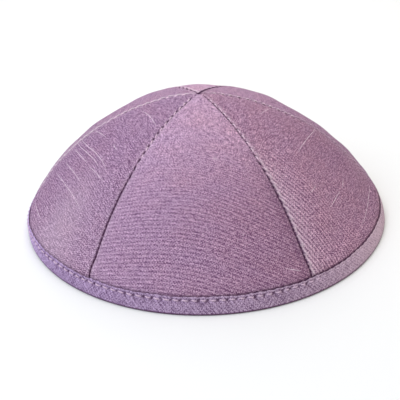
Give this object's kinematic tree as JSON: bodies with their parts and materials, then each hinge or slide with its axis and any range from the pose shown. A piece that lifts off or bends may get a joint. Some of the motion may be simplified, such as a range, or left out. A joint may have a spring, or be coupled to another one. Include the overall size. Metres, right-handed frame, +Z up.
{
  "type": "kippah",
  "caption": "Round skullcap of wedge-shaped cloth panels sewn together at the top, with a folded cloth binding round the open rim.",
  "frame": {"origin": "centre of the rim, on the surface that the cap rests on", "axes": "+Z up through the crown, -Y towards the middle of the front panel"},
  "size_m": [0.1788, 0.1786, 0.057],
  "materials": {
    "panel_cloth": "slubbed plain-weave silk, soft sheen",
    "binding_cloth": "the same silk cut on the bias, soft sheen"
  },
  "bodies": {
    "root": {"panel_front": "panel_cloth", "panel_front_left": "panel_cloth", "panel_front_right": "panel_cloth", "panel_rear": "panel_cloth", "panel_rear_left": "panel_cloth", "panel_rear_right": "panel_cloth", "rim_binding": "binding_cloth"}
  },
  "joints": []
}
